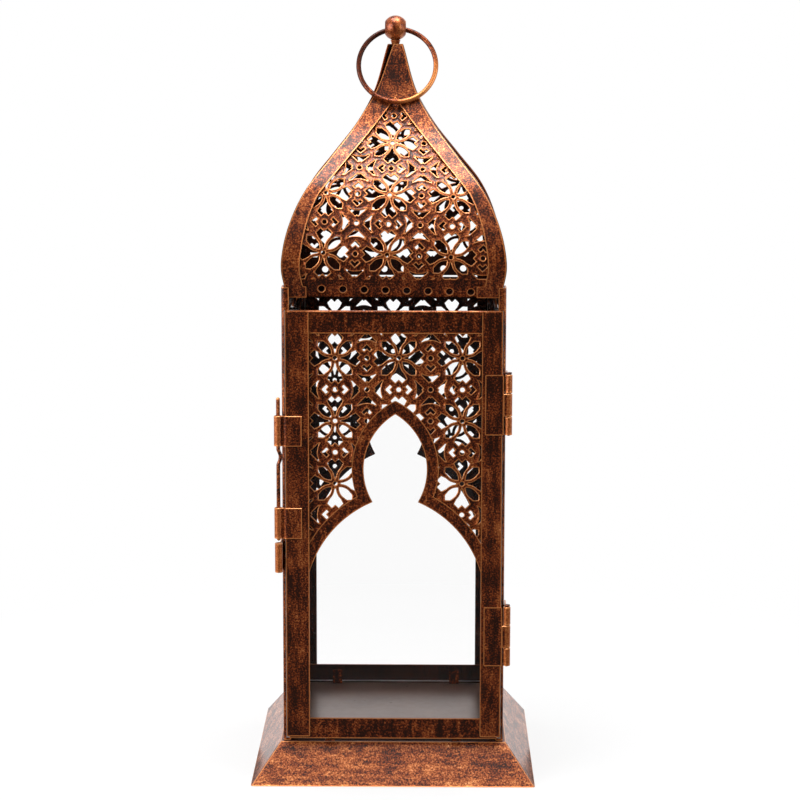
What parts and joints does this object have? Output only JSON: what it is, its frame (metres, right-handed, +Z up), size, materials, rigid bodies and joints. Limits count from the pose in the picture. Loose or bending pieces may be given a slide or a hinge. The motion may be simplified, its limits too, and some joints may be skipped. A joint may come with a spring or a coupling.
{
  "type": "moroccan lantern",
  "caption": "Tall square candle lantern in antique copper: glazed pierced walls with keyhole arches, hinged door with a wire bolt, onion dome, ball finial and carry ring.",
  "frame": {"origin": "centre of the square base, on the surface it stands on", "axes": "+Z up, -Y out through the door, +X towards the hinge side"},
  "size_m": [0.112, 0.112, 0.3],
  "materials": {
    "aged_copper": "antique copper finish on steel sheet, dark patina with rubbed edges",
    "bright_copper": "copper plate on steel, rubbed bright",
    "clear_glass": "clear float glass"
  },
  "bodies": {
    "lantern_body": {"base_skirt": "aged_copper", "floor_plate": "aged_copper", "post_front_left": "aged_copper", "post_front_right": "aged_copper", "post_back_left": "aged_copper", "post_back_right": "aged_copper", "right_bottom_rail": "aged_copper", "right_top_rail": "aged_copper", "right_arch_strip": "aged_copper", "right_filigree": "aged_copper", "right_pane": "clear_glass", "right_clip_a": "aged_copper", "right_clip_b": "aged_copper", "back_bottom_rail": "aged_copper", "back_top_rail": "aged_copper", "back_arch_strip": "aged_copper", "back_filigree": "aged_copper", "back_pane": "clear_glass", "back_clip_a": "aged_copper", "back_clip_b": "aged_copper", "left_bottom_rail": "aged_copper", "left_top_rail": "aged_copper", "left_arch_strip": "aged_copper", "left_filigree": "aged_copper", "left_pane": "clear_glass", "left_clip_a": "aged_copper", "left_clip_b": "aged_copper", "dome_front_frame": "aged_copper", "dome_front_filigree": "aged_copper", "dome_right_frame": "aged_copper", "dome_right_filigree": "aged_copper", "dome_back_frame": "aged_copper", "dome_back_filigree": "aged_copper", "dome_left_frame": "aged_copper", "dome_left_filigree": "aged_copper", "finial_stem": "aged_copper", "finial_ball": "bright_copper", "hinge_lower_body_leaf": "aged_copper", "hinge_lower_pin": "aged_copper", "hinge_upper_body_leaf": "aged_copper", "hinge_upper_pin": "aged_copper", "latch_keeper": "aged_copper"},
    "door": {"door_left_stile": "aged_copper", "door_right_stile": "aged_copper", "door_top_rail": "aged_copper", "door_bottom_rail": "aged_copper", "door_arch_strip": "aged_copper", "door_filigree": "aged_copper", "door_pane": "clear_glass", "door_clip_a": "aged_copper", "door_clip_b": "aged_copper", "hinge_lower_door_leaf": "aged_copper", "hinge_upper_door_leaf": "aged_copper", "latch_upper_guide": "aged_copper", "latch_lower_guide": "aged_copper"},
    "bolt": {"latch_bolt": "aged_copper"},
    "ring": {"carry_ring": "bright_copper"}
  },
  "joints": [
    {"name": "door_hinge", "type": "hinge", "parent": "lantern_body", "child": "door", "pos_m": [0.0446, -0.04805, 0.1], "axis": [0, 0, 1], "range_deg": [0, 210]},
    {"name": "bolt_slide", "type": "slide", "parent": "door", "child": "bolt", "axis": [0, 0, 1], "range_m": [-0.0166, 0.0006]},
    {"name": "ring_swing", "type": "hinge", "parent": "lantern_body", "child": "ring", "pos_m": [0, 0, 0.2946], "axis": [-1, 0, 0], "range_deg": [0, 315]}
  ]
}
